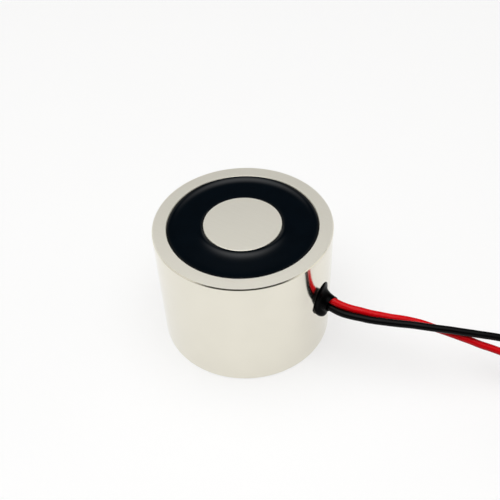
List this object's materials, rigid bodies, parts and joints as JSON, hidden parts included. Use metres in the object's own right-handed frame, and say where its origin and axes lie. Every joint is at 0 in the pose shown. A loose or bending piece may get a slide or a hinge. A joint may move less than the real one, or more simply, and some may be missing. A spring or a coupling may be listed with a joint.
{
  "type": "holding electromagnet",
  "caption": "Round pot-type holding electromagnet: plated steel cup and centre pole, potted coil flush in the holding face, side leads through a rubber grommet and a tapped hole in the back.",
  "frame": {"origin": "centre of the mounting face, on the surface that the magnet stands on", "axes": "+Z from the mounting face to the holding face, +X out of the lead hole in the side wall"},
  "size_m": [0.1092, 0.04, 0.03],
  "materials": {
    "nickel_plated_steel": "bright nickel plate, ground rim",
    "ground_steel": "plated, ground face",
    "bobbin_nylon": "moulded",
    "enamelled_copper": "enamelled",
    "polyester_tape": "smooth film",
    "black_epoxy": "glossy as cast",
    "black_rubber": "semi-gloss moulded",
    "red_pvc": "semi-gloss extruded",
    "black_pvc": "semi-gloss extruded",
    "tinned_copper": "tinned",
    "shrink_sleeve": "matte",
    "natural_nylon": "moulded"
  },
  "bodies": {
    "root": {"pot_housing": "nickel_plated_steel", "pole_core": "ground_steel", "coil_bobbin": "bobbin_nylon", "coil_winding": "enamelled_copper", "winding_tape": "polyester_tape", "potting_resin": "black_epoxy", "cable_grommet": "black_rubber", "red_lead": "red_pvc", "black_lead": "black_pvc", "red_solder_joint": "tinned_copper", "black_solder_joint": "tinned_copper", "red_splice_sleeve": "shrink_sleeve", "black_splice_sleeve": "shrink_sleeve", "red_bare_end": "tinned_copper", "black_bare_end": "tinned_copper", "lead_coil": "red_pvc", "coil_tie": "natural_nylon"}
  },
  "joints": []
}
